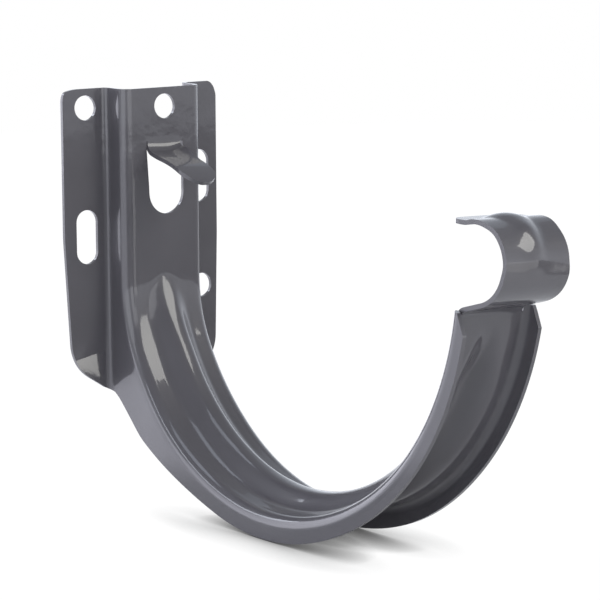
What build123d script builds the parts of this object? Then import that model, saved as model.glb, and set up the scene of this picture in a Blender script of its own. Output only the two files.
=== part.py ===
from build123d import *
import math
import os

os.makedirs("parts", exist_ok=True)

# Fascia bracket for a half-round gutter, pressed from one sheet.
# X runs along the gutter, Z is up, the wall is the plane Y = 0 and the bracket stands out toward -Y.
# The origin lies on the wall plane, on the centreline, at the height of the gutter's axis.
# Side outlines are drawn in (out, up), where out is the distance from the wall.

# Sheet
sheet = 1.1
wall_bend = 3.2
foot_bend = 1.6

# Fixing plate
plate_left = 27.0
plate_right = 24.2
plate_top = 40.35
top_slant = 1.2
top_lean = 0.065
plate_foot = -44.1
plate_corner = 4.0
foot_corner = 12.0
foot_slope = 32.3
taper_top = -2.0
left_taper = 2.0
right_taper = 0.9

# Web and side walls
web_out = 10.1
half_width = 13.3

# Cradle
crest_radius = 63.0
rib_height = 4.4
arm_tuck = 3.3
web_blend = 40.0
arm_end = 172.0
wall_depth = 6.8
wall_shift = 1.3
wall_foot_angle = 74.0
wall_end_slant = 3.6
wall_end_length = 2.6
knee_out = 16.3
knee_drop = 12.3
knee_round = 12.0
heel_out = 5.2
heel_drop = 2.1
heel_round = 12.0

# Rib along the arm
rib_base = 7.4
rib_crest = 3.6
rib_start = 16.0
rib_stop = 149.0
rib_fade = 17.0
fade_shares = (1.0, 0.62, 0.2)
fade_places = (0.0, 0.5, 1.0)

# Screw holes and slots
hole_size = 6.8
slot_length = 15.0
hole_left = -19.8
hole_right = 18.6
slot_right = 18.0
hole_left_up = 34.1
slot_left_up = -1.5
slot_right_up = 14.3
hole_right_up = -17.4
web_hole_right = 0.4
web_hole_up = 34.5

# Tongue cut from the web
tongue_width = 11.0
left_gap = 0.25
right_gap = 0.9
tongue_root = 25.1
tongue_bend = 3.5
tongue_slope = 18.0
tongue_flat = 9.5
tongue_droop = 22.0
tongue_nose = 11.0
tongue_reach = 24.8
window_foot = 4.7

# Bead clip at the front
clip_width = 20.2
bead_radius = 8.8
bead_ahead = 5.1
bead_up = 1.3
clip_rise = 14.0
clip_bend = 3.0
clip_wrap = 178.0
lip_bend = 6.0
lip_turn = 16.0
lip_length = 4.2
lip_corner = 3.0
clip_relief = 0.4
swell_radius = 10.2
swell_out = -0.6
swell_up = 0.7

# Derived sizes
margin_radius = crest_radius + rib_height
mid_radius = margin_radius + sheet / 2
edge_radius = margin_radius + wall_depth
cradle_out = web_out - arm_tuck + margin_radius
edge_out = cradle_out - wall_shift
bead_out = cradle_out + margin_radius + bead_ahead
blend_out = web_out + web_blend
blend_up = -math.sqrt((margin_radius - web_blend) ** 2 - (cradle_out - blend_out) ** 2)
blend_turn = math.degrees(math.atan2(-blend_up, cradle_out - blend_out))

# Extents that run clear of the whole part
beyond_side = plate_left + half_width
beyond_top = plate_top + 2 * web_out
beyond_foot = -2 * edge_radius
beyond_front = bead_out + 3 * bead_radius
whole_height = beyond_top - beyond_foot

side = Plane(origin=(0, 0, 0), x_dir=(0, -1, 0), z_dir=(-1, 0, 0))
cradle_axis = Axis((0, -cradle_out, 0), (1, 0, 0))


def on_arm(radius, angle, centre_out=cradle_out):
    """Point of the side outline at an angle measured from the wall side of the cradle, downward."""
    a = math.radians(180 + angle)
    return (centre_out + radius * math.cos(a), radius * math.sin(a))


def radial_plane(angle):
    """Plane through the cradle axis: x along the gutter, y outward from the axis."""
    a = math.radians(angle)
    return Plane(origin=(0, -cradle_out, 0), x_dir=(1, 0, 0), z_dir=(0, math.sin(a), math.cos(a)))


def radial_axis(angle):
    a = math.radians(angle)
    return Axis((0, -cradle_out, 0), (0, math.cos(a), -math.sin(a)))


def follows_web(edge, depth=0.0):
    """True for an edge that runs along the web surface, or along one a depth behind it, at the side walls."""
    p = edge @ 0.5
    out = -p.Y
    if abs(p.X) < half_width / 2:
        return False
    on_line = abs(out - web_out + depth) < 0.02 and p.Z > blend_up - 0.1
    from_main = math.hypot(out - cradle_out, p.Z)
    from_blend = math.hypot(out - blend_out, p.Z - blend_up)
    on_main = abs(from_main - margin_radius - depth) < 0.02
    on_blend = abs(from_blend - web_blend - depth) < 0.02 and p.Z < blend_up
    return on_line or on_main or on_blend


# Outer form of the channel: plate web, arm and side walls
arm_tip = on_arm(margin_radius, arm_end)
wall_tip = on_arm(edge_radius, arm_end - wall_end_slant, edge_out)
edge_start = on_arm(edge_radius, wall_foot_angle, edge_out)
knee = (knee_out, plate_foot - knee_drop)
heel = (heel_out, plate_foot - heel_drop)

with BuildPart() as hull:
    with BuildSketch(side) as outline:
        with BuildLine():
            Polyline((0, plate_foot), (0, beyond_top), (web_out, beyond_top), (web_out, blend_up))
            CenterArc((blend_out, blend_up), web_blend, 180, blend_turn)
            CenterArc((cradle_out, 0), margin_radius, 180 + blend_turn, arm_end - blend_turn)
            Polyline(arm_tip, (arm_tip[0] + wall_end_length, arm_tip[1]), wall_tip)
            swept = wall_foot_angle - arm_end + wall_end_slant
            edge = CenterArc((edge_out, 0), edge_radius, 180 + arm_end - wall_end_slant, swept)
            TangentArc(edge @ 1, knee, tangent=edge % 1)
            Polyline(knee, heel, (sheet, plate_foot), (0, plate_foot))
        make_face()
        fillet(outline.vertices().filter_by_position(Axis.Y, heel[1] - 0.1, heel[1] + 0.1), heel_round)
        fillet(outline.vertices().filter_by_position(Axis.Y, knee[1] - 0.1, knee[1] + 0.1), knee_round)
    extrude(amount=beyond_side, both=True)
    # Plan: flanges on the wall and side walls running straight out
    with BuildSketch(Plane.XY.offset(beyond_foot)) as plan:
        Polygon(
            (0, 0),
            (beyond_side, 0),
            (beyond_side, -sheet),
            (half_width, -sheet),
            (half_width, -beyond_front),
            (0, -beyond_front),
            align=None,
        )
        fillet(plan.vertices().group_by(Axis.Y)[-2].sort_by(Axis.X)[0], foot_bend)
        mirror(about=Plane.YZ)
    extrude(amount=whole_height, mode=Mode.INTERSECT)
    # Front outline: rounded plate, open downward where the arm leaves it
    throat = half_width + foot_bend
    low_left = plate_left - left_taper
    low_right = plate_right - right_taper
    rise_foot = math.tan(math.radians(foot_slope))
    left_low = plate_foot + (low_left - throat) * rise_foot
    right_low = plate_foot + (low_right - throat) * rise_foot
    with BuildSketch(Plane.XZ) as front:
        with BuildLine():
            Polyline(
                (-plate_left, plate_top - top_slant),
                (-plate_left, taper_top),
                (-low_left, left_low),
                (-throat, plate_foot),
                (-throat, beyond_foot),
                (throat, beyond_foot),
                (throat, plate_foot),
                (low_right, right_low),
                (plate_right, taper_top),
                (plate_right, plate_top + top_slant),
                close=True,
            )
        make_face()
        fillet(front.vertices().group_by(Axis.Y)[-2:], plate_corner)
        for low in (left_low, right_low):
            fillet(front.vertices().filter_by_position(Axis.Y, low - 0.1, low + 0.1), foot_corner)
    extrude(amount=beyond_front, dir=(0, -1, -top_lean), both=True, mode=Mode.INTERSECT)
    fillet(hull.edges().filter_by(follows_web), wall_bend)

# Inner form: the same web surface one sheet thickness further back, open toward the wall
arm_past_end = arm_end + 2 * wall_end_slant
with BuildPart() as hollow:
    with BuildSketch(side):
        with BuildLine():
            Polyline((-web_out, beyond_top), (web_out - sheet, beyond_top), (web_out - sheet, blend_up))
            CenterArc((blend_out, blend_up), web_blend + sheet, 180, blend_turn)
            CenterArc((cradle_out, 0), margin_radius + sheet, 180 + blend_turn, arm_past_end - blend_turn)
            back_tip = on_arm(margin_radius + sheet, arm_past_end)
            Polyline(
                back_tip,
                (beyond_front, back_tip[1]),
                (beyond_front, beyond_foot),
                (-web_out, beyond_foot),
                (-web_out, beyond_top),
            )
        make_face()
    extrude(amount=beyond_side, both=True)
    with BuildSketch(Plane.XY.offset(beyond_foot)) as mouth:
        Polygon(
            (0, web_out),
            (2 * half_width, web_out),
            (2 * half_width, 0),
            (half_width - sheet, 0),
            (half_width - sheet, -beyond_front),
            (0, -beyond_front),
            align=None,
        )
        fillet(mouth.vertices().filter_by_position(Axis.Y, -0.1, 0.1).sort_by(Axis.X)[0], foot_bend + sheet)
        mirror(about=Plane.YZ)
    extrude(amount=whole_height, mode=Mode.INTERSECT)
    fillet(hollow.edges().filter_by(lambda e: follows_web(e, sheet)), wall_bend - sheet)

# Rib: raised toward the gutter, hollow behind, with a domed end at the web and a fading one at the clip
flank_run = rib_base - rib_crest
flank_length = math.hypot(rib_height, flank_run)
back_inset = sheet * (flank_length - flank_run) / rib_height


def rib_half(share, depth=0.0, inset=0.0, reach=2 * sheet):
    """Half of a rib section at a share of its full size: flat crest and one straight flank."""
    crest = margin_radius - rib_height * share + depth
    base = margin_radius + reach
    crest_half = rib_crest * share - inset
    foot_half = crest_half + (base - crest) * flank_run / rib_height
    return [(0, crest), (crest_half, crest), (foot_half, base), (0, base)]


def groove_half(share):
    return rib_half(share, sheet, back_inset, 3 * sheet)


with BuildPart() as rib:
    with BuildSketch(radial_plane(rib_stop)):
        Polygon(*rib_half(1), align=None)
        mirror(about=Plane.YZ)
    revolve(axis=cradle_axis, revolution_arc=rib_stop - rib_start)
    with BuildSketch(radial_plane(rib_start)):
        Polygon(*rib_half(1), align=None)
    revolve(axis=radial_axis(rib_start))
    for share, place in zip(fade_shares, fade_places):
        with BuildSketch(radial_plane(rib_stop + rib_fade * place)):
            Polygon(*rib_half(share), align=None)
            mirror(about=Plane.YZ)
    loft()

with BuildPart() as groove:
    with BuildSketch(radial_plane(rib_stop)):
        Polygon(*groove_half(1), align=None)
        mirror(about=Plane.YZ)
    revolve(axis=cradle_axis, revolution_arc=rib_stop - rib_start)
    with BuildSketch(radial_plane(rib_start)):
        Polygon(*groove_half(1), align=None)
    revolve(axis=radial_axis(rib_start))
    for share, place in zip(fade_shares, fade_places):
        with BuildSketch(radial_plane(rib_stop + rib_fade * place)):
            Polygon(*groove_half(share), align=None)
            mirror(about=Plane.YZ)
    loft()

# Tongue: follows the web down, turns outward, then droops toward a round nose
with BuildPart() as tongue:
    with BuildSketch(side):
        with BuildLine():
            stem = Line((web_out - sheet / 2, tongue_root + sheet), (web_out - sheet / 2, tongue_root))
            turn = JernArc(stem @ 1, stem % 1, tongue_bend, 90 - tongue_slope)
            flat = Line(turn @ 1, turn @ 1 + (turn % 1) * tongue_flat)
            droop_radius = tongue_nose / math.radians(tongue_droop)
            JernArc(flat @ 1, flat % 1, droop_radius, -tongue_droop)
        trace(line_width=sheet)
    extrude(amount=tongue_width, both=True)
    with BuildSketch(Plane.XY):
        with Locations((0, -tongue_reach / 2)):
            Rectangle(tongue_width, tongue_reach)
        with Locations((0, -tongue_reach)):
            Circle(tongue_width / 2)
    extrude(amount=plate_top, mode=Mode.INTERSECT)

# Bead clip: bends outward from the arm, runs round the bead and ends in a flared lip
bead_mid = bead_radius + sheet / 2
rise = math.radians(clip_rise)
meet = (bead_out + bead_mid * math.sin(rise), bead_up - bead_mid * math.cos(rise))
shifted = (meet[0] + clip_bend * math.sin(rise) - cradle_out, meet[1] - clip_bend * math.cos(rise))
along = shifted[0] * math.cos(rise) + shifted[1] * math.sin(rise)
beyond = shifted[0] ** 2 + shifted[1] ** 2 - (mid_radius + clip_bend) ** 2
back = along - math.sqrt(along ** 2 - beyond)
bend_centre = (
    cradle_out + shifted[0] - back * math.cos(rise),
    shifted[1] - back * math.sin(rise),
)
leave = math.degrees(math.atan2(-bend_centre[1], bend_centre[0] - cradle_out))
bend_turn = 90 - leave - clip_rise
bend_end = (bend_centre[0] - clip_bend * math.sin(rise), bend_centre[1] + clip_bend * math.cos(rise))

with BuildPart() as clip:
    with BuildSketch(side):
        with BuildLine() as strip:
            CenterArc((cradle_out, 0), mid_radius, -leave - 4, 4)
            CenterArc(bend_centre, clip_bend, 180 - leave, -bend_turn)
            Line(bend_end, meet)
            wrap = CenterArc((bead_out, bead_up), bead_mid, clip_rise - 90, clip_wrap)
            flare = JernArc(wrap @ 1, wrap % 1, lip_bend, -lip_turn)
            lip = Line(flare @ 1, flare @ 1 + (flare % 1) * lip_length)
        trace(line_width=sheet)
    extrude(amount=clip_width / 2, both=True)
    tips = clip.edges().filter_by(lambda e: abs(e.length - sheet) < 0.01 and e.center().Z > bead_up)
    fillet(tips, lip_corner)

# Swelling that stiffens the top of the clip and fades out round the back
swell_centre = (0, -(bead_out + swell_out), bead_up + swell_up)
with BuildPart() as swell_inside:
    with Locations(swell_centre):
        Sphere(swell_radius - sheet)
with BuildPart() as swell:
    with Locations(swell_centre):
        Sphere(swell_radius)
    with BuildSketch(side):
        with BuildLine():
            top = CenterArc((bead_out, bead_up), bead_mid, -20, clip_wrap + clip_rise - 70)
            flare = JernArc(top @ 1, top % 1, lip_bend, -lip_turn)
            lip = Line(flare @ 1, flare @ 1 + (flare % 1) * lip_length)
            tip = lip @ 1
            start = top @ 0
            Polyline(tip, (tip.X, plate_top), (beyond_front, plate_top), (beyond_front, start.Y), start)
        make_face()
    extrude(amount=clip_width, both=True, mode=Mode.INTERSECT)
    add(swell_inside.part, mode=Mode.SUBTRACT)

with BuildPart() as bracket:
    add(hull.part)
    add(rib.part)
    add(hollow.part, mode=Mode.SUBTRACT)
    add(groove.part, mode=Mode.SUBTRACT)

    # Screw holes and slots in the flanges
    with BuildSketch(Plane.XZ.offset(-sheet)):
        with Locations((hole_left, hole_left_up), (hole_right, hole_right_up)):
            Circle(hole_size / 2)
        with Locations((hole_left, slot_left_up), (slot_right, slot_right_up)):
            SlotOverall(slot_length, hole_size, rotation=90)
    extrude(amount=3 * sheet, mode=Mode.SUBTRACT)

    # Hole in the web and the window that the tongue is cut from
    opening = tongue_width + left_gap + right_gap
    opening_right = (right_gap - left_gap) / 2
    with BuildSketch(Plane.XZ.offset(web_out - 2 * sheet)):
        with Locations((web_hole_right, web_hole_up)):
            Circle(hole_size / 2)
        with Locations((opening_right, window_foot + opening / 2)):
            Circle(opening / 2)
        with Locations((opening_right, (window_foot + opening / 2 + tongue_root) / 2)):
            Rectangle(opening, tongue_root - window_foot - opening / 2)
    extrude(amount=4 * sheet, mode=Mode.SUBTRACT)
    add(tongue.part)

    # The middle of the arm's end gives way to the narrower clip strip
    with BuildSketch(side):
        Polygon(
            on_arm(margin_radius - 3 * sheet, 180 - leave),
            on_arm(margin_radius + 4 * sheet, 180 - leave),
            on_arm(margin_radius + 4 * sheet, arm_past_end),
            on_arm(margin_radius - 3 * sheet, arm_past_end),
            align=None,
        )
    extrude(amount=clip_width / 2 + clip_relief, both=True, mode=Mode.SUBTRACT)
    add(clip.part)
    add(swell.part)
    add(swell_inside.part, mode=Mode.SUBTRACT)

bracket.part.label = "bracket"
export_step(bracket.part, "parts/bracket.step")
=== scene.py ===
# %% [markdown]
# # A pressed-steel gutter bracket
# The object is one sheet of steel, cut, folded and painted dark grey. In this lesson it is built the way
# the press makes it: a thin middle surface gets its folds, a Geometry Nodes tree presses the stiffening rib
# into it, and only then does the sheet get its thickness and the soft rounding of its painted edges.
# The CAD model is loaded first, because every size and place comes from it.

# %% Load the frame
import math

import bmesh
import bpy
import numpy as np
from mathutils import Matrix, Vector, geometry


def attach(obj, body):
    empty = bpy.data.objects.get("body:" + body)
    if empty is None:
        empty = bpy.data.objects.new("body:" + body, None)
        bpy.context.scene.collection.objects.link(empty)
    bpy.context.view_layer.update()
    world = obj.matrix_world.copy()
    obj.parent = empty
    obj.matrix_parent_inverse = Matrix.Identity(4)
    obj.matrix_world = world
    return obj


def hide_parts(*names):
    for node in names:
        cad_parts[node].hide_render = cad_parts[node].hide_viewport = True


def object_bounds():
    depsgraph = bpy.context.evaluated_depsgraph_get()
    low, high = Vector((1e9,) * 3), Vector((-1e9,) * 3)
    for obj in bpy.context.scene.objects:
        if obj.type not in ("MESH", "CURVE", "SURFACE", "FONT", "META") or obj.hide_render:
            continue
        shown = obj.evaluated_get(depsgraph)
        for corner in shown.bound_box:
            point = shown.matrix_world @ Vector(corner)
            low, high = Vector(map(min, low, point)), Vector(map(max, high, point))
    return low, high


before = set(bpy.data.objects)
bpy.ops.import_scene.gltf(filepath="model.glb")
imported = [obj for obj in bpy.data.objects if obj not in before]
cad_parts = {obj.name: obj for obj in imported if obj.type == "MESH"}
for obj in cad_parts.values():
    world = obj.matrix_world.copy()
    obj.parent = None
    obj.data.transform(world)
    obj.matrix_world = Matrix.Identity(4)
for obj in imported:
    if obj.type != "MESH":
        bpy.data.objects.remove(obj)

cad_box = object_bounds()
print("CAD box in metres:", cad_box)

# %% [markdown]
# ## Sizes of the sheet
# All sizes are in millimetres, as a sheet-metal worker would write them. A side view is drawn in (out, up):
# out is the distance from the fascia, up is height. The plan direction "across" runs along the gutter. One
# helper turns the
# three numbers into Blender's metres, where the bracket stands out toward -Y.

# %% Sizes
MM = 0.001
sheet = 1.1  # thickness with its paint
half = sheet / 2
web_out = 10.1  # front of the raised web
web_blend = 40.0  # radius that leads from the web into the arm
margin_radius = 67.4  # radius of the arm's floor beside the rib
cradle_out = 74.2  # centre of that radius, at height zero
edge_radius = 74.2  # radius of the side walls' free edge
edge_out = 72.9  # centre of that edge
arm_end = 172.0  # degrees round the cradle at which the walls end
plate_top = 40.35
top_slant = 1.2 / 25.6  # rise of the top edge for each millimetre across
top_lean = 0.065  # fall of the top edge for each millimetre out
plate_foot = -44.1
wall_bend = 3.2 - half  # fold between web and side wall
foot_bend = 1.6 + half  # fold between side wall and flange


def place(across, out, up):
    """A point given in millimetres as across, out and up, in metres in the CAD frame."""
    return np.stack([np.asarray(across), -np.asarray(out), np.asarray(up)], axis=-1) * MM


def ease(value, low, high):
    """Smooth step from 0 at low to 1 at high."""
    t = np.clip((np.asarray(value, float) - low) / (high - low), 0, 1)
    return t * t * (3 - 2 * t)


def half_width(out):
    """From the centreline to the middle of a side wall: widest under the gutter, narrower at the front."""
    return 13.1 + 0.6 * ease(out, 8, 32) - 1.4 * ease(out, 85, 128) - half


print("half width at the plate, under the gutter and at the front:", half_width([0, 60, 140]).round(2))

# %% [markdown]
# ## The path of the web
# Seen from the side, the middle of the sheet is a chain of straight runs and arcs: down the plate, round
# the blend into the cradle, up to the clip, out between the walls, round the bead and along the lip. A
# chain like this is best described as a tailor's tape would follow it, by length and turn, so one short
# list holds the whole shape. Only the clip's neck has to be worked out: it rises to touch the bead's
# circle, and a small bend joins it to the arm.

# %% Chain of runs and arcs
blend_out = web_out + web_blend
blend_up = -math.sqrt((margin_radius - web_blend) ** 2 - (cradle_out - blend_out) ** 2)
blend_turn = math.atan2(-blend_up, cradle_out - blend_out)

bead_out, bead_up, bead_mid = 146.7, 1.3, 8.8 + half
neck_rise, neck_bend = math.radians(14.0), 3.0
meet_out = bead_out + bead_mid * math.sin(neck_rise)
meet_up = bead_up - bead_mid * math.cos(neck_rise)
# The bend's centre lies its own radius outside the arm, which gives the neck's length by a quadratic
# equation.
from_cradle = (
    meet_out + neck_bend * math.sin(neck_rise) - cradle_out,
    meet_up - neck_bend * math.cos(neck_rise),
)
along_rise = from_cradle[0] * math.cos(neck_rise) + from_cradle[1] * math.sin(neck_rise)
outside = from_cradle[0] ** 2 + from_cradle[1] ** 2 - (margin_radius + half + neck_bend) ** 2
neck_run = along_rise - math.sqrt(along_rise ** 2 - outside)
leave = math.atan2(
    -(from_cradle[1] - neck_run * math.sin(neck_rise)), from_cradle[0] - neck_run * math.cos(neck_rise)
)

wrap_turn, flare_turn, flare_bend = math.radians(178.0), math.radians(16.0), 6.0
plate_run = plate_top - blend_up
blend_run = (web_blend + half) * blend_turn
arm_run = (margin_radius + half) * (math.pi - leave - blend_turn)
bend_run = neck_bend * (math.pi / 2 - leave - neck_rise)
wrap_run = bead_mid * wrap_turn
flare_run = flare_bend * flare_turn
lip_run = 4.2
chain = [
    (plate_run, 0.0),
    (blend_run, 1 / (web_blend + half)),
    (arm_run, 1 / (margin_radius + half)),
    (bend_run, -1 / neck_bend),
    (neck_run, 0.0),
    (wrap_run, 1 / bead_mid),
    (flare_run, -1 / flare_bend),
    (lip_run, 0.0),
]
clip_start = plate_run + blend_run + arm_run
wrap_start = clip_start + bend_run + neck_run
lip_start = wrap_start + wrap_run + flare_run
print("clip leaves the arm at", round(math.degrees(math.pi - leave), 2), "degrees")
print("length of the chain:", round(lip_start + lip_run, 1), "mm")


# %% Walk along a chain
def walk(lengths, links=chain, start=(web_out - half, plate_top), heading=-math.pi / 2):
    """Points and left-hand normals of a chain of runs and arcs, at the given lengths along it."""
    found = np.empty((len(lengths), 4))
    for row, length in enumerate(lengths):
        at, turn, left = np.array(start, float), heading, length
        for number, (run, bend) in enumerate(links):
            step = left if number == len(links) - 1 else min(left, run)
            if bend:
                after = turn + step * bend
                chord = np.array([math.sin(after) - math.sin(turn), math.cos(turn) - math.cos(after)])
                at = at + chord / bend
                turn = after
            else:
                at = at + step * np.array([math.cos(turn), math.sin(turn)])
            left -= step
            if left <= 0:
                break
        found[row] = (*at, -math.sin(turn), math.cos(turn))
    return found


def steps(*spans):
    """Lengths from span to span, each span given as (start, stop, step)."""
    parts = [np.linspace(a, b, max(2, int(round((b - a) / d)) + 1))[:-1] for a, b, d in spans]
    return np.concatenate(parts + [[spans[-1][1]]])


print("clip begins at (out, up)", walk([clip_start])[0, :2].round(1))

# %% [markdown]
# ## Gathering the middle surface
# The middle surface is made of a few patches: long grids for what is bent, and flat panels for what has
# holes. Each patch brings its points, its faces, and the numbers that the press needs later: how far along
# and across the arm a point lies, how much the clip swells there, and which way the press moves it. Patches
# share their border points, so they can be welded at the end.

# %% Patches of the middle surface
points, faces, along_of, across_of, swell_of, normal_of = [], [], [], [], [], []
FAR = 99.0  # along and across for points that the rib's die never reaches


def add_patch(coords, patch_faces, along=FAR, across=FAR, swell=0.0, normal=(0.0, 0.0, 0.0)):
    """Add points in metres and their faces, with one number or one per point of each kind."""
    base = len(points)
    count = len(coords)
    points.extend(map(tuple, coords))
    faces.extend([tuple(base + v for v in face) for face in patch_faces])
    along_of.extend(np.broadcast_to(along, count))
    across_of.extend(np.broadcast_to(across, count))
    swell_of.extend(np.broadcast_to(swell, count))
    normal_of.extend(map(tuple, np.broadcast_to(normal, (count, 3))))


def grid_faces(rows, columns):
    return [
        (r * columns + c, r * columns + c + 1, (r + 1) * columns + c + 1, (r + 1) * columns + c)
        for r in range(rows - 1)
        for c in range(columns - 1)
    ]


def add_grid(x, out, up, **numbers):
    """Add a patch of rows and columns, with its places across, out and up in millimetres."""
    x, out, up = np.broadcast_arrays(x, out, up)
    add_patch(place(x.ravel(), out.ravel(), up.ravel()), grid_faces(*x.shape), **numbers)


# %% [markdown]
# ## Outlines
# Every outline of the sheet is a line of points: corners that are each rounded with their own radius,
# circles and slots for the screws, and arcs that must leave an edge in its own direction.

# %% Outlines
def rounded(corners, radii, fineness=8):
    """A closed outline through corners, each rounded with its own radius."""
    line = []
    count = len(corners)
    for k in range(count):
        here = np.array(corners[k], float)
        to_last = np.array(corners[k - 1], float) - here
        to_next = np.array(corners[(k + 1) % count], float) - here
        if radii[k] == 0:
            line.append(here)
            continue
        a, b = to_last / np.linalg.norm(to_last), to_next / np.linalg.norm(to_next)
        angle = math.acos(np.clip(a @ b, -1, 1))
        middle = here + (a + b) / np.linalg.norm(a + b) * radii[k] / math.sin(angle / 2)
        first, last = here + a * radii[k] / math.tan(angle / 2), here + b * radii[k] / math.tan(angle / 2)
        for t in np.linspace(0, 1, fineness + 1):
            spoke = (first - middle) * (1 - t) + (last - middle) * t
            line.append(middle + spoke / np.linalg.norm(spoke) * radii[k])
    return np.array(line)


def circle(across, up, radius, count=40):
    turns = np.linspace(0, 2 * math.pi, count, endpoint=False)
    return np.stack([across + radius * np.cos(turns), up + radius * np.sin(turns)], axis=1)


def slot(across, up, length, width, count=20):
    radius = width / 2
    reach = length / 2 - radius
    top = np.linspace(0, math.pi, count)
    low = np.linspace(math.pi, 2 * math.pi, count)
    upper = np.stack([across + radius * np.cos(top), up + reach + radius * np.sin(top)], axis=1)
    lower = np.stack([across + radius * np.cos(low), up - reach + radius * np.sin(low)], axis=1)
    return np.concatenate([upper, lower])


def arc_between(first, last, leaving, count):
    """The arc from first to last that leaves first in the given direction."""
    chord = last - first
    length = np.linalg.norm(chord)
    facing = chord / length
    aside = np.array([-facing[1], facing[0]])
    bulge = math.asin((leaving[0] * chord[1] - leaving[1] * chord[0]) / length)
    line = []
    for share in np.linspace(0, 1, count):
        turn = bulge * (share - 1)
        part = math.sin(bulge * share) / math.sin(bulge) * length
        line.append(first + part * (facing * math.cos(turn) + aside * math.sin(turn)))
    return line


def spread(line, count):
    """Evenly spaced points along a line."""
    lengths = np.concatenate([[0], np.cumsum(np.linalg.norm(np.diff(line, axis=0), axis=1))])
    wanted = np.linspace(0, lengths[-1], count)
    return np.stack([np.interp(wanted, lengths, line[:, k]) for k in range(2)], axis=1)


# %% [markdown]
# ## Flat panels with holes
# The two flanges and the upper web are flat but full of holes. A constrained triangulation fills such a
# panel exactly to its rim and leaves the holes open, which is cleaner than cutting holes out of a finished
# mesh. A ring of points around each hole and a loose grid inside keep the triangles near the rims even, so
# the rounded edges come out even.

# %% Fill a panel
spacing = 1.7  # of the loose grid
rim_room, hole_room, ring_room = 0.8, 1.3, 0.7  # rim to grid, hole to grid and hole to its ring


def inside(dots, loop):
    """Whether each dot is inside a closed outline, by counting the edges that it would cross."""
    x, y = dots[:, 0], dots[:, 1]
    result = np.zeros(len(dots), bool)
    for (x1, y1), (x2, y2) in zip(loop, np.roll(loop, -1, axis=0)):
        if y1 == y2:
            continue
        crossing = ((y1 > y) != (y2 > y)) & (x < (x2 - x1) * (y - y1) / (y2 - y1) + x1)
        result ^= crossing
    return result


def clearance(dots, loop):
    """Distance of each dot from a closed outline."""
    best = np.full(len(dots), 1e9)
    for p, q in zip(loop, np.roll(loop, -1, axis=0)):
        d = q - p
        length = d @ d
        t = np.clip(((dots - p) @ d) / length, 0, 1) if length > 0 else np.zeros(len(dots))
        best = np.minimum(best, np.linalg.norm(dots - p - t[:, None] * d, axis=1))
    return best


def add_panel(outline, holes, rings, out):
    """Fill an outline (across, up) round its holes and add it to the sheet, flat at one distance out."""
    loops = [np.asarray(outline)] + [np.asarray(h) for h in holes]
    low, high = loops[0].min(axis=0), loops[0].max(axis=0)
    xs, ys = np.arange(low[0], high[0], spacing), np.arange(low[1], high[1], spacing * 0.87)
    dots = np.array([(x + (j % 2) * spacing / 2, y) for j, y in enumerate(ys) for x in xs])
    keep = inside(dots, loops[0]) & (clearance(dots, loops[0]) > rim_room)
    for loop in loops[1:]:
        keep &= ~inside(dots, loop) & (clearance(dots, loop) > hole_room)
    coords, links = [], []
    for loop in loops:
        base, count = len(coords), len(loop)
        links += [(base + k, base + (k + 1) % count) for k in range(count)]
        coords += [Vector(p) for p in loop]
    coords += [Vector(p) for p in dots[keep]]
    coords += [Vector(p) for ring in rings for p in ring]
    verts, _, tris, *_ = geometry.delaunay_2d_cdt(coords, links, [], 1, 1e-6)
    flat = np.array([tuple(v) for v in verts])
    centres = np.array([flat[list(t)].mean(axis=0) for t in tris])
    solid = inside(centres, loops[0])
    for loop in loops[1:]:
        solid &= ~inside(centres, loop)
    kept = [tuple(t) for t, s in zip(tris, solid) if s]
    add_patch(place(flat[:, 0], np.full(len(flat), out), flat[:, 1]), kept)


# %% [markdown]
# ## Rows of the channel
# The channel's cross-section is laid at rows along the web's chain. A row is closer to the next where the
# rib rises out of the web and where the clip turns. The upper web is a panel, so the grid of the floor
# begins a little below
# the window.

# %% Rows
grid_top = -6.0
fine_end, fade_from = plate_run + 18.0, clip_start - 34.0
past_clip = (margin_radius + half) * (leave - math.radians(180 - arm_end))
rows_plate = steps((0.0, plate_top - grid_top, 1.6))
rows_arm = steps(
    (plate_top - grid_top, fine_end, 0.55),
    (fine_end, fade_from, 1.2),
    (fade_from, clip_start, 0.8),
)
rows_past = np.linspace(clip_start, clip_start + past_clip, 6)
rows_wall = np.concatenate([rows_plate[:-1], rows_arm[:-1], rows_past])
web_rows = walk(rows_wall, chain[:3])
turned = np.degrees(np.arctan2(-web_rows[:, 1], cradle_out - web_rows[:, 0]))
print("rows:", len(rows_wall), "turning to", round(float(turned[-1]), 1), "degrees")

# %% [markdown]
# ## The sheet's outer border
# Each row needs a partner on the sheet's outer border. On the plate that is the fold to the flange, below
# it the curved foot, and round the arm the free edge of the side wall. The foot leaves the free edge in an
# arc, bends round a knee and a heel and runs out at the plate's foot.

# %% Border of the walls
flange_up = half + foot_bend
foot_turned, edge_turned = 33.0, 74.0  # degrees round the cradle where the foot and the free edge begin
foot_row = int(np.argmin(np.abs(turned - foot_turned)))
edge_row = int(np.argmin(np.abs(turned - edge_turned)))
first_bent = int(np.searchsorted(rows_wall, plate_run))

edge_turn = math.radians(turned[edge_row])
edge_first = np.array([edge_out - edge_radius * math.cos(edge_turn), -edge_radius * math.sin(edge_turn)])
heel, knee = (5.2, plate_foot - 2.1), np.array([16.3, plate_foot - 12.3])
sweep = arc_between(edge_first, knee, (-math.sin(edge_turn), math.cos(edge_turn)), 24)
joined = 19
foot_corners = [(sheet, plate_foot), heel, knee, sweep[joined], (sheet, edge_first[1])]
foot_line = rounded(foot_corners, [0, 15, 26, 0, 0], 12)[:-1]
foot_line = np.concatenate([foot_line[foot_line[:, 0] > flange_up], sweep[joined - 1 :: -1]])

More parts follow.
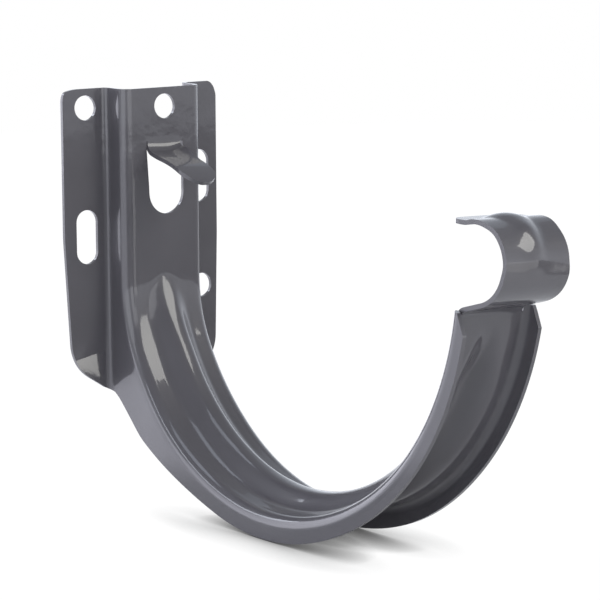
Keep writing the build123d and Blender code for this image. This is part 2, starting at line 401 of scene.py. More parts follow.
border = np.empty((len(rows_wall), 2))
border[:first_bent] = np.stack([np.full(first_bent, flange_up), web_rows[:first_bent, 1]], axis=1)
lengths = rows_wall[first_bent : foot_row + 1] - rows_wall[first_bent - 1]
fraction = lengths / (rows_wall[foot_row] - rows_wall[first_bent - 1])
start_up = web_rows[first_bent - 1, 1]
border[first_bent : foot_row + 1, 0] = flange_up + (foot_line[0, 0] - flange_up) * fraction ** 6
border[first_bent : foot_row + 1, 1] = start_up + (foot_line[0, 1] - start_up) * fraction
border[foot_row : edge_row + 1] = spread(foot_line, edge_row - foot_row + 1)
angles = np.radians(turned[edge_row:])
border[edge_row:, 0] = edge_out - edge_radius * np.cos(angles)
border[edge_row:, 1] = -edge_radius * np.sin(angles)

# The foot line starts a little below the flange's own foot, so the fold climbs by that much on its way to
# the flange.
foot_rise = plate_foot - foot_line[0, 1]
flange_rise = foot_rise * ease(-border[: foot_row + 1, 1], -plate_foot - 8, -plate_foot)
print("foot row", foot_row, "edge row", edge_row, "climb at the foot", round(float(foot_rise), 2), "mm")

# %% [markdown]
# ## Side walls and their folds
# On each side the sheet leaves the web in a quarter-round fold, runs straight as the wall, and on the plate
# turns out again into the flange. All three are one grid per side. The wall's upper end at the front is cut
# on a slant, which a bisecting plane does once the wall is there, just as shears would. Beside the clip the
# fold belongs to the clip's own strip, so the wall leaves those faces out.

# %% Build the walls
fold_steps, wall_steps, bend_steps = 8, 6, 7
clip_columns = 2
flange_start = float(half_width(flange_up)) + foot_bend
slant_point, slant_normal = (143.5, -9.4), np.array([5.5, 2.1]) / math.hypot(5.5, 2.1)
slant_from = 135.0


def wall_patch(sign):
    """Fold and side wall as rows by columns of (across, out, up)."""
    columns = fold_steps + wall_steps + 1
    coords = np.empty((len(rows_wall), columns, 3))
    wall_x = half_width(web_rows[:, 0])
    for k, turn in enumerate(np.linspace(0, math.pi / 2, fold_steps + 1)):
        x = wall_x - wall_bend + wall_bend * math.sin(turn)
        depth = wall_bend * (1 - math.cos(turn))
        spot = web_rows[:, :2] - depth * web_rows[:, 2:]
        coords[:, k] = np.stack([sign * x, spot[:, 0], spot[:, 1]], axis=1)
    start = web_rows[:, :2] - wall_bend * web_rows[:, 2:]
    for k in range(1, wall_steps + 1):
        spot = start + (border - start) * k / wall_steps
        coords[:, fold_steps + k] = np.stack([sign * half_width(spot[:, 0]), spot[:, 0], spot[:, 1]], axis=1)
    return coords


def add_wall(sign):
    """Add a side wall with its front end sheared off on the slant."""
    coords = wall_patch(sign)
    rows, columns = coords.shape[:2]
    shear = bmesh.new()
    verts = [shear.verts.new(p) for p in coords.reshape(-1, 3)]
    for face in grid_faces(rows, columns):
        beside_clip = face[0] // columns >= rows - len(rows_past) and face[0] % columns < clip_columns
        if not beside_clip:
            shear.faces.new([verts[v] for v in face])
    for vert in [v for v in shear.verts if not v.link_faces]:
        shear.verts.remove(vert)
    end = [f for f in shear.faces if f.calc_center_median().y > slant_from]
    end_edges = dict.fromkeys(e for f in end for e in f.edges)
    end_verts = dict.fromkeys(v for f in end for v in f.verts)
    bmesh.ops.bisect_plane(
        shear,
        geom=[*end, *end_edges, *end_verts],
        plane_co=(0, *slant_point),
        plane_no=(0, *slant_normal),
        clear_outer=True,
    )
    shear.verts.index_update()
    cut = np.array([tuple(v.co) for v in shear.verts])
    add_patch(place(*cut.T), [tuple(v.index for v in f.verts) for f in shear.faces])
    shear.free()


def add_flange_fold(sign):
    """Add the fold that turns the wall out into the flange."""
    turns = np.linspace(0, math.pi / 2, bend_steps + 1)[None, :]
    line = border[: foot_row + 1]
    x = half_width(flange_up) + foot_bend * (1 - np.cos(turns))
    out = half + (line[:, :1] - half) * (1 - np.sin(turns))
    up = line[:, 1:] + flange_rise[:, None] * np.arange(bend_steps + 1) / bend_steps
    add_grid(sign * x, out, up)


for sign in (-1, 1):
    add_wall(sign)
    add_flange_fold(sign)
print("walls and bends:", len(faces), "faces")

# %% [markdown]
# ## The floor of the arm
# Between the folds lies the floor of the channel, one grid from just above the rib to the clip. It is flat
# across for now, and its points carry the numbers that press the rib.

# %% Build the floor
floor_columns = 48
floor = walk(rows_arm)
reach = half_width(floor[:, 0]) - wall_bend
across = np.linspace(-1, 1, floor_columns + 1)[None, :] * reach[:, None]
normals = np.stack([np.zeros(len(floor)), -floor[:, 2], floor[:, 3]], axis=1)
add_grid(
    across,
    floor[:, :1],
    floor[:, 1:2],
    along=np.repeat(rows_arm, across.shape[1]),
    across=across.ravel(),
    normal=np.repeat(normals, across.shape[1], axis=0),
)
print("floor:", across.size, "points")

# %% [markdown]
# ## The bead clip
# On the real bracket the clip is the end of the arm, drawn a little narrower than the channel: the folds
# flatten out over its first few millimetres, and its tip has round corners. Its top swells, as if a ball
# were pressed through from within, so each point is lifted as far as the ball's surface. Its front carries
# a very low ridge and tilt, about half a millimetre high, because in the photograph the reflections on it
# bend that way. A small notch beside each fold frees the clip from the side wall, and the far edge is drawn
# in a little more than the near one.

# %% Build the clip
clip_half, tip_corner = 10.1, 3.0
flatten_run, notch, notch_run = 4.0, 0.35, 0.6
clip_rows = steps(
    (clip_start, clip_start + bend_run, 0.35),
    (clip_start + bend_run, wrap_start, 0.6),
    (wrap_start, wrap_start + wrap_run, 0.62),
    (wrap_start + wrap_run, lip_start, 0.4),
    (lip_start, lip_start + lip_run, 0.3),
)
strip = walk(clip_rows)
past = clip_rows - clip_start
from_tip = clip_rows[-1] - clip_rows

fold_turns = np.linspace(0, math.pi / 2, fold_steps + 1)[1 : clip_columns + 1]
edge_x = reach[-1] + wall_bend * np.sin(fold_turns)
edge_drop = wall_bend * (1 - np.cos(fold_turns))
strip_x = np.concatenate([-edge_x[::-1], across[-1], edge_x])
strip_drop = np.concatenate([edge_drop[::-1], np.zeros(across.shape[1]), edge_drop])

hold = np.clip(1 - past / flatten_run, 0, 1) ** 2
notched = notch * np.clip(past / notch_run, 0, 1) * hold
half_strip = strip_x[-1] + (clip_half - strip_x[-1]) * (1 - hold) - notched
round_off = tip_corner - np.sqrt(np.clip(tip_corner ** 2 - (tip_corner - from_tip) ** 2, 0, None))
inset = np.where(from_tip < tip_corner, round_off, 0.0)
strip_across = strip_x[None, :] / strip_x[-1] * (half_strip - inset)[:, None]
drawn_in = 0.08 * (1 - hold) * (1 - ease(past, 5, 15))  # of the far half, until 15 mm past the arm
strip_across = strip_across * (1 - drawn_in[:, None] * (strip_across > 0))
drop = strip_drop[None, :] * hold[:, None]
strip_out = strip[:, :1] - drop * strip[:, 2:3]
strip_up = strip[:, 1:2] - drop * strip[:, 3:4]

# %% Swell the clip
ball_out, ball_up, ball_radius, ball_soft = bead_out - 0.6, bead_up + 0.7, 10.2 - half, 0.25
swell_begin = 0.9
wrapped = (clip_rows - wrap_start) / bead_mid  # angle round the bead
reach_out, reach_up = strip_out - ball_out, strip_up - ball_up
along_normal = -(reach_out * strip[:, 2:3] + reach_up * strip[:, 3:4])
room = along_normal ** 2 - (reach_out ** 2 + reach_up ** 2 - ball_radius ** 2 + strip_across ** 2)
lift = np.where(room > 0, -along_normal + np.sqrt(np.clip(room, 0, None)), -1.0)
lift = np.where((wrapped > swell_begin)[:, None], lift, -1.0)
lift = 0.5 * (lift + np.sqrt(lift ** 2 + ball_soft ** 2)) - 0.5 * (np.sqrt(1 + ball_soft ** 2) - 1)
lift = np.clip(lift, 0, None)

ridge, ridge_x, ridge_wide, front_tilt = 0.55, -0.8, 2.8, 0.04
on_front = (ease(wrapped, 1.0, 1.4) * (1 - ease(wrapped, 2.1, 2.6)))[:, None]
ridged = ridge * np.exp(-(((strip_across - ridge_x) / ridge_wide) ** 2))
lift = lift + on_front * (ridged - front_tilt * strip_across)

strip_normals = np.stack([np.zeros(len(strip)), -strip[:, 2], strip[:, 3]], axis=1)
add_grid(
    strip_across,
    strip_out,
    strip_up,
    along=np.repeat(clip_rows, strip_across.shape[1]),
    swell=lift.ravel(),
    normal=np.repeat(strip_normals, strip_across.shape[1], axis=0),
)
print("clip:", strip_across.size, "points; highest swell", round(float(lift.max()), 2), "mm")

# %% [markdown]
# ## Flanges
# The flanges' outline is straight at the top and drawn in toward the foot. Their inner border repeats the
# points of the fold beside them, so the weld closes. The right flange is narrower than the left one, and
# its holes sit at other heights.

# %% Build the flanges
hole_radius = 3.4
slot_length = 15.0
foot_slope = math.radians(32.3)


def add_flange(sign, width, taper, corner, round_hole, long_hole):
    """Add a flange of a width, drawn in at the foot by a taper, with each hole at its (across, up)."""
    inner = np.stack([np.full(foot_row + 1, flange_start), border[: foot_row + 1, 1] + flange_rise], axis=1)
    low = width - taper
    low_up = plate_foot + (low - flange_start) * math.tan(foot_slope)
    corners = [
        (flange_start, plate_foot),
        (low, low_up),
        (width, -2.0),
        (width, plate_top),
        (flange_start, plate_top),
    ]
    outline = np.concatenate([inner, rounded(corners, [0, 12, 30, corner, 0], 12)[1:-1]])
    outline[:, 0] *= sign
    holes, rings = (
        [
            circle(*round_hole, hole_radius + room),
            slot(*long_hole, slot_length + 2 * room, 2 * (hole_radius + room)),
        ]
        for room in (0.0, ring_room)
    )
    add_panel(outline, holes, rings, half)


add_flange(-1, 27.0, 2.0, 4.5, round_hole=(-19.8, 34.1), long_hole=(-19.8, -1.5))
add_flange(1, 24.2, 0.9, 3.3, round_hole=(18.6, -17.4), long_hole=(18.0, 14.3))
print("with flanges:", len(faces), "faces")

# %% [markdown]
# ## Upper web
# The upper web holds the hanging hole and the window that the tongue was cut from. The window's upper rim
# is the tongue's root, so both share their points. Its left side runs slightly aslant, as the photograph
# shows.

# %% Build the upper web
tongue_half, tongue_top = 5.5, 25.1
tongue_columns = np.linspace(-tongue_half, tongue_half, 19)
window_right, window_left, window_aslant = 6.4, -5.05, 0.7
round_up, round_high, round_middle = 10.6, 5.95, 0.5
side_foot, side_rows = 12.2, 7
window_turn = np.linspace(0, -math.pi, 29)
window_round = np.where(np.cos(window_turn) > 0, window_right - round_middle, 5.5)
window_side = np.linspace(tongue_top - 2, side_foot, side_rows)
left_side = window_left - window_aslant * (window_side[::-1] - side_foot) / 11
window = np.concatenate(
    [
        np.stack([tongue_columns, np.full(len(tongue_columns), tongue_top)], axis=1),
        [(tongue_half + 0.02, tongue_top - 0.25), (window_right - 0.2, tongue_top - 0.3)],
        np.stack([np.full(side_rows, window_right), window_side], axis=1),
        np.stack(
            [round_middle + window_round * np.cos(window_turn), round_up + round_high * np.sin(window_turn)],
            axis=1,
        ),
        np.stack([left_side, window_side[::-1]], axis=1),
        [(window_left - window_aslant, tongue_top - 0.3), (-tongue_half - 0.02, tongue_top - 0.25)],
    ]
)
fold_x = half_width(web_rows[: len(rows_plate), 0]) - wall_bend
fold_up = web_rows[: len(rows_plate), 1]
web_outline = np.concatenate(
    [
        np.stack([-fold_x, fold_up], axis=1),
        np.stack([across[0], np.full(across.shape[1], grid_top)], axis=1)[1:-1],
        np.stack([fold_x, fold_up], axis=1)[::-1],
        np.stack([np.linspace(fold_x[0], -fold_x[0], 12)[1:-1], np.full(10, plate_top)], axis=1),
    ]
)
web_hole, web_ring = circle(0.4, 34.5, hole_radius), circle(0.4, 34.5, hole_radius + ring_room)
add_panel(web_outline, [web_hole, window], [web_ring], web_out - half)
print("with the upper web:", len(faces), "faces")

# %% [markdown]
# ## The tongue
# The tongue was cut from the web on three sides and bent out, to be hammered down over the gutter's back
# edge. It is
# a strip on its own short chain: a tight bend, a straight run and a slow droop. Its nose is round, so the
# last rows draw in along part of a circle. Bending dished it near the root, more on the far side than on
# the near one.

# %% Build the tongue
nose_start, nose_rows = 24.8, 13
tongue_chain = [(3.5 * math.radians(72.0), 1 / 3.5), (9.5, 0.0), (11.0, -math.radians(22.0) / 11.0)]
tongue_root = (web_out - half, tongue_top)
tongue_fine = np.linspace(0, 24.5, 400)
fine_out = walk(tongue_fine, tongue_chain, tongue_root)[:, 0]
nose_turn = np.linspace(0, math.radians(80), nose_rows + 1)[1:]
nose_at = np.interp(nose_start + tongue_half * np.sin(nose_turn), fine_out, tongue_fine)
body_end = np.interp(nose_start, fine_out, tongue_fine)
tongue_rows = np.concatenate([steps((0.0, 4.4, 0.4), (4.4, body_end, 0.9)), nose_at])
tongue_width = np.concatenate([np.ones(len(tongue_rows) - nose_rows), np.cos(nose_turn)])
tongue = walk(tongue_rows, tongue_chain, tongue_root)

near_root = (ease(tongue_rows, 0.6, 5.0) * (1 - ease(tongue_rows, 6.0, 13.0)))[:, None]
sideways = tongue_columns[None, :] / tongue_half
far_side, near_side = np.clip(sideways, 0, None) ** 2, np.clip(-sideways, 0, None) ** 2
dish = near_root * (1.2 * far_side - 0.35 * near_side - 0.35 * (1 - sideways ** 2))
add_grid(
    tongue_columns[None, :] * tongue_width[:, None],
    tongue[:, :1] + dish * tongue[:, 2:3],
    tongue[:, 1:2] + dish * tongue[:, 3:4],
)
print("tongue tip at", tongue[-1, :2].round(2))

# %% [markdown]
# ## Weld the patches
# All patches become one mesh. Points that two patches share are merged, and the top edge gets its slight
# slant. The open borders that remain are counted: one round the sheet, one at each of the five holes and
# one round the window.

# %% One middle surface
body = bpy.data.meshes.new("bracket_middle")
body.from_pydata(points, [], faces)
for name, values in (("along", along_of), ("across", across_of), ("swell", swell_of)):
    body.attributes.new(name, "FLOAT", "POINT").data.foreach_set("value", np.asarray(values, np.float32))
body.attributes.new("press", "FLOAT_VECTOR", "POINT").data.foreach_set(
    "vector", np.asarray(normal_of, np.float32).ravel()
)
weld = bmesh.new()
weld.from_mesh(body)
bmesh.ops.remove_doubles(weld, verts=weld.verts, dist=0.02 * MM)
slant_begin, slant_over = 38.2, 2.1
for vert in weld.verts:
    lift_share = min(max((vert.co.z / MM - slant_begin) / slant_over, 0.0), 1.0)
    vert.co.z += lift_share * (top_slant * vert.co.x + top_lean * vert.co.y)
bmesh.ops.recalc_face_normals(weld, faces=weld.faces)
on_web = Vector((0.008, -0.00955, 0.015))
web_face = min(weld.faces, key=lambda f: (f.calc_center_median() - on_web).length)
if web_face.normal.y > 0:
    bmesh.ops.reverse_faces(weld, faces=weld.faces)


def count_borders(mesh):
    """Number of separate open borders."""
    waiting = {e for e in mesh.edges if e.is_boundary}
    count = 0
    while waiting:
        count += 1
        stack = [waiting.pop()]
        while stack:
            near = {e for v in stack.pop().verts for e in v.link_edges if e in waiting}
            waiting -= near
            stack.extend(near)
    return count


print("middle surface:", len(weld.verts), "points,", len(weld.faces), "faces")
print("open borders:", count_borders(weld))
weld.to_mesh(body)
weld.free()
bracket = bpy.data.objects.new("pressed_bracket", body)
bpy.context.scene.collection.objects.link(bracket)

# %% [markdown]
# ## Helpers for node trees
# The press, the paint, the floor and the sky are all node trees. A node is written here with its inputs
# beside it, and an input is either a constant or another node's output. That reads like a formula, from the
# inside out. A node's settings, such as its operation, are made first, because they decide which inputs it
# has.

# %% Node helpers
def add_node(tree, kind, inputs=None, **settings):
    """Add a node, make its settings and fill its inputs, each found by name or number."""
    node = tree.nodes.new(kind)
    for name, value in settings.items():
        setattr(node, name, value)
    for key, value in (inputs or {}).items():
        if isinstance(value, bpy.types.NodeSocket):
            tree.links.new(value, node.inputs[key])
        else:
            node.inputs[key].default_value = value
    return node


def maths(tree, operation, *values, clamp=False):
    """The output of one sum, such as "ADD", over the given values."""
    return add_node(
        tree, "ShaderNodeMath", dict(enumerate(values)), operation=operation, use_clamp=clamp
    ).outputs[0]


def ranged(tree, value, low, high, first, last, smooth=False):
    """The value carried from low-high to first-last, in a straight or a smooth step."""
    bounds = {"Value": value, "From Min": low, "From Max": high, "To Min": first, "To Max": last}
    step = "SMOOTHSTEP" if smooth else "LINEAR"
    return add_node(tree, "ShaderNodeMapRange", bounds, interpolation_type=step).outputs["Result"]


def new_material(name):
    """An empty material and its node tree."""
    material = bpy.data.materials.new(name)
    material.use_nodes = True
    material.node_tree.nodes.clear()
    return material, material.node_tree


# %% [markdown]
# ## Press the rib with Geometry Nodes
# On the real bracket one die raises the rib into the flat floor of the channel. Here a node tree does the
# same: it reads how far along and across the arm each point lies, works out the die's height there, and
# moves the point along the direction of the press. The rib starts in a round dome, so there the die's width
# grows like a quarter circle while its height rises in a sine, and it ends in a long point, where the die
# gets narrower and lower together. The whole floor crowns a little between the walls. The same tree lifts
# the clip's swelling. The sizes are named inputs.

# %% Node tree of the press
def press_tree(finish):
    tree = bpy.data.node_groups.new("press the rib", "GeometryNodeTree")
    face = tree.interface
    face.new_socket("Sheet", in_out="INPUT", socket_type="NodeSocketGeometry")
    for name, value in (
        ("Rib height", 4.2),
        ("Crest half width", 1.2),
        ("Base half width", 7.6),
        ("Crest roundness", 0.07),
        ("Crown", 0.5),
        ("Crown half width", 10.0),
        ("Rib tip", plate_run - 0.7),
        ("Dome length", 8.0),
        ("Rise length", 26.0),
        ("Fade start", clip_start - 21.0),
        ("Fade end", clip_start - 0.5),
        ("Width at fade", 0.6),
        ("Swelling", 1.0),
    ):
        face.new_socket(name, in_out="INPUT", socket_type="NodeSocketFloat").default_value = value
    face.new_socket("Sheet", in_out="OUTPUT", socket_type="NodeSocketGeometry")
    given = add_node(tree, "NodeGroupInput").outputs

    def times(first, second):
        return maths(tree, "MULTIPLY", first, second)

    def share(value, whole):
        return maths(tree, "DIVIDE", value, whole, clamp=True)

    def stored(name, kind="FLOAT"):
        reader = add_node(tree, "GeometryNodeInputNamedAttribute", {"Name": name}, data_type=kind)
        return reader.outputs["Attribute"]

    along, aside = stored("along"), maths(tree, "ABSOLUTE", stored("across"))
    past_tip = maths(tree, "SUBTRACT", along, given["Rib tip"])
    dome = share(past_tip, given["Dome length"])
    dome = maths(tree, "SQRT", times(dome, maths(tree, "SUBTRACT", 2.0, dome)))
    rise = maths(tree, "SINE", times(share(past_tip, given["Rise length"]), math.pi / 2))
    fade = ranged(tree, along, given["Fade start"], given["Fade end"], 1.0, 0.0, smooth=True)
    strength = times(rise, fade)

    width_gain = maths(tree, "SUBTRACT", 1.0, given["Width at fade"])
    faded_width = maths(tree, "MULTIPLY_ADD", fade, width_gain, given["Width at fade"])
    seen = maths(tree, "DIVIDE", aside, times(maths(tree, "MAXIMUM", dome, 0.02), faded_width))
    die = ranged(tree, seen, given["Crest half width"], given["Base half width"], 1.0, 0.0, smooth=True)
    crest_off = times(times(seen, seen), times(given["Crest roundness"], die))
    rib = times(maths(tree, "SUBTRACT", times(die, given["Rib height"]), crest_off), strength)
    to_wall = share(aside, given["Crown half width"])
    crown = times(times(maths(tree, "SUBTRACT", 1.0, times(to_wall, to_wall)), given["Crown"]), strength)
    swollen = times(stored("swell"), given["Swelling"])
    move = times(maths(tree, "SUBTRACT", maths(tree, "ADD", rib, crown), swollen), MM)

    press_way = stored("press", "FLOAT_VECTOR")
    scale = add_node(tree, "ShaderNodeVectorMath", {0: press_way, "Scale": move}, operation="SCALE")
    shift = add_node(
        tree, "GeometryNodeSetPosition", {"Geometry": given["Sheet"], "Offset": scale.outputs[0]}
    )
    whole = add_node(tree, "GeometryNodeRealizeInstances", {0: shift.outputs[0]})
    painted = add_node(tree, "GeometryNodeSetMaterial", {"Geometry": whole.outputs[0], "Material": finish})
    add_node(tree, "NodeGroupOutput", {0: painted.outputs[0]})
    return tree


# %% [markdown]
# ## Dark grey paint
# The bracket is coated steel: a smooth, even, dark grey gloss with hardly any grain. The colour sits under
# a clear, slightly wavy surface, so the wave goes into the bump and a faint change into the roughness, and
# the colour itself barely changes. The lamps' reflections then do most of the work.
# The left flange's foot is bent back by a hair in the photograph, and catches the light in one bright
# patch. A crease runs aslant over the foot, and below it a second bump leans the surface, more toward the
# fold. It only leans the shading, far too little to change the form.

# %% Paint material
def grey_paint():
    paint, tree = new_material("dark_grey_paint")
    spot = add_node(tree, "ShaderNodeTexCoord").outputs["Object"]

    def noise(scale, detail):
        inputs = {"Vector": spot, "Scale": scale, "Detail": detail}
        return add_node(tree, "ShaderNodeTexNoise", inputs).outputs["Fac"]

    fine = noise(90.0, 4.0)
    broad = noise(45.0, 3.0)
    shade = add_node(tree, "ShaderNodeValToRGB", {"Fac": broad})
    dark, light = shade.color_ramp.elements
    dark.position, dark.color = 0.3, (0.083, 0.079, 0.088, 1)
    light.position, light.color = 0.7, (0.095, 0.091, 0.101, 1)

    parts = add_node(tree, "ShaderNodeSeparateXYZ", {0: spot}).outputs
    crease = maths(tree, "MULTIPLY_ADD", parts["X"], 0.22, -0.0304)
    below = maths(tree, "SUBTRACT", crease, parts["Z"], clamp=True)
    lean = ranged(tree, parts["X"], -0.0255, -0.0135, 0.36, 0.5)
    on_flange = maths(tree, "LESS_THAN", parts["X"], -0.0147)
    depth = maths(tree, "MULTIPLY", maths(tree, "MULTIPLY", below, lean), on_flange)
    dent = add_node(
        tree, "ShaderNodeBump", {"Strength": 1.0, "Distance": 1.0, "Height": depth}
    ).outputs["Normal"]
    wave = add_node(
        tree, "ShaderNodeBump", {"Strength": 0.3, "Distance": 0.0003, "Height": fine, "Normal": dent}
    ).outputs["Normal"]

    coat = add_node(
        tree,
        "ShaderNodeBsdfPrincipled",
        {
            "Base Color": shade.outputs["Color"],
            "Roughness": ranged(tree, broad, 0.0, 1.0, 0.32, 0.4),
            "IOR": 1.45,
            "Specular IOR Level": 0.3,
            "Normal": wave,
            "Coat Weight": 1.0,
            "Coat Roughness": 0.07,
            "Coat Normal": wave,
        },
    )
    add_node(tree, "ShaderNodeOutputMaterial", {"Surface": coat.outputs["BSDF"]})
    return paint


# %% Press and paint the sheet
press = bracket.modifiers.new("press", "NODES")
press.node_group = press_tree(grey_paint())
bpy.context.view_layer.update()
pressed = bpy.data.meshes.new_from_object(bracket.evaluated_get(bpy.context.evaluated_depsgraph_get()))
bracket.modifiers.clear()
bracket.data = pressed
print("pressed:", len(pressed.vertices), "points, materials", [m.name for m in pressed.materials])

# %% [markdown]
# ## Thickness and edges
# The pressed middle surface now gets its sheet thickness evenly to both sides, which closes it. Shears and
# punches leave square edges, but paint rounds them a little, and that thin rounding is what catches the
# light along every
# rim. A small bevel on the sharp edges alone gives it.

# %% Solidify and bevel
for polygon in pressed.polygons:
    polygon.use_smooth = True
thick = bracket.modifiers.new("sheet thickness", "SOLIDIFY")
thick.thickness = sheet * MM
thick.offset = 0.0
thick.use_even_offset = True
thick.use_quality_normals = True
thick.use_rim = True
edges = bracket.modifiers.new("paint rounding", "BEVEL")
edges.width = 0.3 * MM
edges.segments = 3
edges.limit_method = "ANGLE"
edges.angle_limit = math.radians(50)
edges.harden_normals = True
edges.use_clamp_overlap = True
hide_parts("bracket")
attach(bracket, "root")
print("sheet of", sheet, "mm with its edges rounded by 0.3 mm")

# %% [markdown]
# ## Floor
# The photograph is a catalogue picture: plain white all round, and only a soft shadow close to the bracket.
# The floor is pale and lit by the same lamps, but the camera sees it lifted to white by a glow that is
# weakened where something stands close over it, which paints the contact shadow over a faint real one.
# Mirror rays see a painted reflection instead: only for them the floor turns dark far out in front and
# glows cool behind on the left, which paints a cool reflection on the side wall.

# %% Floor
def pale_floor():
    pale, tree = new_material("pale_floor")
    spot = add_node(tree, "ShaderNodeTexCoord").outputs["Object"]
    rays = add_node(tree, "ShaderNodeLightPath").outputs

    def diffuse(level):
        return add_node(tree, "ShaderNodeBsdfDiffuse", {"Color": (level, level, level, 1)}).outputs[0]

    def emission(color, strength):
        return add_node(tree, "ShaderNodeEmission", {"Color": color, "Strength": strength}).outputs[0]

    def mixed(factor, first, second):
        return add_node(tree, "ShaderNodeMixShader", {0: factor, 1: first, 2: second}).outputs[0]

    def summed(first, second):
        return add_node(tree, "ShaderNodeAddShader", {0: first, 1: second}).outputs[0]

    def for_mirrors(direction, low, high, most):
        """Rises to its most beyond a line on the floor, and only for mirror rays."""
        apart = add_node(tree, "ShaderNodeVectorMath", {0: spot, 1: direction}, operation="DOT_PRODUCT")
        beyond = ranged(tree, apart.outputs["Value"], low, high, 0.0, most)
        return maths(tree, "MULTIPLY", beyond, rays["Is Glossy Ray"])

    # Painted contact shadow: the white glow that the camera sees is weakened by ambient occlusion where
    # something stands close over the floor; only the faint diffuse part keeps a real shadow from the lamps.
    near = add_node(tree, "ShaderNodeAmbientOcclusion", {"Distance": 0.013}, samples=16)
    white = emission((1, 1, 1, 1), maths(tree, "POWER", near.outputs["AO"], 1.6))
    table = mixed(rays["Is Camera Ray"], diffuse(0.75), summed(diffuse(0.035), white))
    # Painted reflection: for mirror rays only, the floor turns dark far out in front and glows cool behind on
    # the left, which paints a cool reflection on the side wall.
    room = mixed(for_mirrors((0.3, -0.95, 0.0), 0.26, 0.3, 1.0), table, diffuse(0.2))
    painted_mirror_glow = emission((0.89, 0.885, 1.0, 1), for_mirrors((-0.62, 0.79, 0.0), 0.02, 0.06, 0.88))
    add_node(tree, "ShaderNodeOutputMaterial", {"Surface": summed(room, painted_mirror_glow)})
    return pale


floor_up = cad_box[0][2] - 0.0002
bpy.ops.mesh.primitive_plane_add(size=6.0, location=(0, 0, floor_up))
ground = bpy.context.object
ground.name = "floor"
ground.data.materials.append(pale_floor())
print("floor at", round(floor_up, 5), "m")

# %% [markdown]
# ## Sky
# The camera sees a white backdrop. For all other rays the sky is a dim, cool studio room that is brighter
# near the horizon than overhead, so upright faces read lighter than the clip's top.

# %% World
world = bpy.data.worlds.new("studio")
bpy.context.scene.world = world
world.use_nodes = True
sky = world.node_tree
sky.nodes.clear()
aim = add_node(sky, "ShaderNodeTexCoord").outputs["Generated"]
height = add_node(sky, "ShaderNodeSeparateXYZ", {0: aim}).outputs["Z"]
level = ranged(sky, height, 0.1, 0.5, 1.1, 0.3)
soft_sky = add_node(sky, "ShaderNodeBackground", {"Color": (0.9, 0.93, 1.0, 1), "Strength": level})
white_sky = add_node(sky, "ShaderNodeBackground", {"Color": (1, 1, 1, 1), "Strength": 1.0})
to_camera = add_node(sky, "ShaderNodeLightPath").outputs["Is Camera Ray"]
either = add_node(sky, "ShaderNodeMixShader", {0: to_camera, 1: soft_sky.outputs[0], 2: white_sky.outputs[0]})
add_node(sky, "ShaderNodeOutputWorld", {"Surface": either.outputs[0]})
print("sky nodes:", len(sky.nodes))

# %% [markdown]
# ## Lamps
# On gloss paint a lamp is seen as a shape, so each soft box is placed by the reflection that it has to
# make. The front right box gives the warm bright patches on the rib, the arm and the clip; the left box and
# the strip above it give the cool light on the side wall and the folds; the fills in front lift the plate.
# Each is given by its direction, its size as seen in degrees and how bright its face is, and none is seen
# by the camera.

# %% Lamps
middle = Vector((0.0, -0.075, -0.01))


def soft_box(name, location, target, wide, tall, brightness, color=(1, 1, 1), roll=0.0):
    """A rectangular lamp of wide by tall metres that faces a target."""
    lamp = bpy.data.lights.new(name, "AREA")
    lamp.shape = "RECTANGLE"
    lamp.size, lamp.size_y = wide, tall
    lamp.energy = brightness * math.pi * wide * tall
    lamp.color = color
    box = bpy.data.objects.new(name, lamp)
    bpy.context.scene.collection.objects.link(box)
    facing = (Vector(target) - Vector(location)).to_track_quat("-Z", "Y").to_matrix().to_4x4()
    box.matrix_world = Matrix.Translation(location) @ facing @ Matrix.Rotation(math.radians(roll), 4, "Z")
    box.visible_camera = False


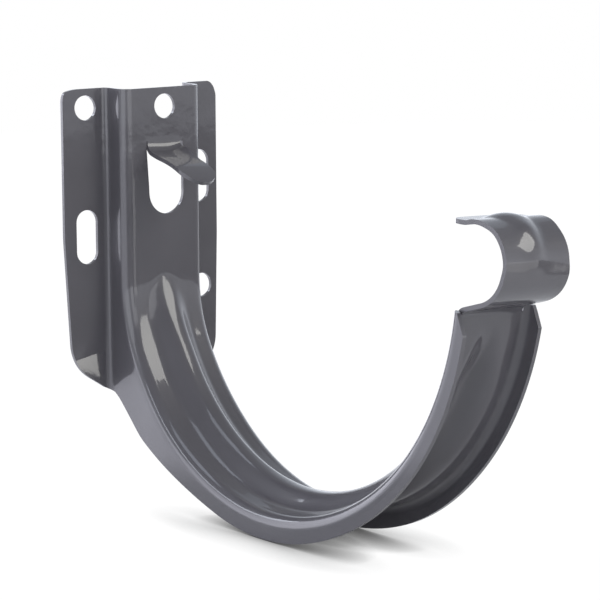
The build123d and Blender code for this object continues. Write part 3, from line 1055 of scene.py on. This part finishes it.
def far_box(name, azimuth, elevation, wide, tall, brightness, color, roll=0.0, distance=2.5):
    """A soft box in a direction, wide and tall in degrees. The azimuth turns from the front to the right."""
    a, e = math.radians(azimuth), math.radians(elevation)
    toward = Vector((math.sin(a) * math.cos(e), -math.cos(a) * math.cos(e), math.sin(e)))
    wide, tall = (2 * distance * math.tan(math.radians(degrees / 2)) for degrees in (wide, tall))
    soft_box(name, middle + toward * distance, middle, wide, tall, brightness, color, roll)


far_box("front right box", 33.3, 38.5, 25.0, 31.0, 4.6, (1.0, 0.99, 0.94), roll=26.0)
far_box("left box", -150.0, 4.0, 56.0, 46.0, 1.9, (0.89, 0.885, 1.0))
far_box("upper left strip", -135.0, 33.0, 70.0, 7.0, 5.0, (0.86, 0.9, 1.0))
far_box("overhead box", -125.0, 76.0, 34.0, 20.0, 1.9, (0.8, 0.87, 1.0))
far_box("right back box", 116.0, 18.0, 76.0, 46.0, 0.22, (0.72, 0.84, 1.0))
far_box("front left fill", -72.0, 2.0, 44.0, 44.0, 1.5, (0.9, 0.93, 1.0))
far_box("front fill", -8.0, 6.0, 40.0, 40.0, 1.3, (0.95, 0.96, 1.0))
soft_box("card beside the clip", (0.085, -0.275, -0.033), (0.0, -0.139, -0.033), 0.08, 0.078, 1.1)
print("lamps:", len(bpy.data.lights))

# %% [markdown]
# ## Camera
# The camera was fitted to the photograph from the edges of the plate, the holes, the arm and the clip:
# nearly level with the plate's top, well to the left of the front, with a long lens. Its own axes are built
# from three angles.

# %% Camera
azimuth, elevation, roll = math.radians(-37.951), math.radians(6.708), math.radians(-0.277)
eye = Vector((-0.300413, -0.456485, 0.043237))
level_run = math.cos(elevation)
back = Vector((math.sin(azimuth) * level_run, -math.cos(azimuth) * level_run, math.sin(elevation)))
right = (-back).cross(Vector((0, 0, 1))).normalized()
upward = right.cross(-back)
turned_right = right * math.cos(roll) + upward * math.sin(roll)
turned_up = upward * math.cos(roll) - right * math.sin(roll)

camera = bpy.data.cameras.new("photo camera")
camera.sensor_fit = "HORIZONTAL"
camera.sensor_width = 36.0
camera.lens = 115.533
camera.clip_start = 0.01
view = bpy.data.objects.new("photo camera", camera)
bpy.context.scene.collection.objects.link(view)
view.matrix_world = Matrix.Translation(eye) @ Matrix((turned_right, turned_up, back)).transposed().to_4x4()
bpy.context.scene.camera = view
bpy.context.scene.view_settings.view_transform = "Standard"
print("camera at", tuple(round(c, 3) for c in eye))
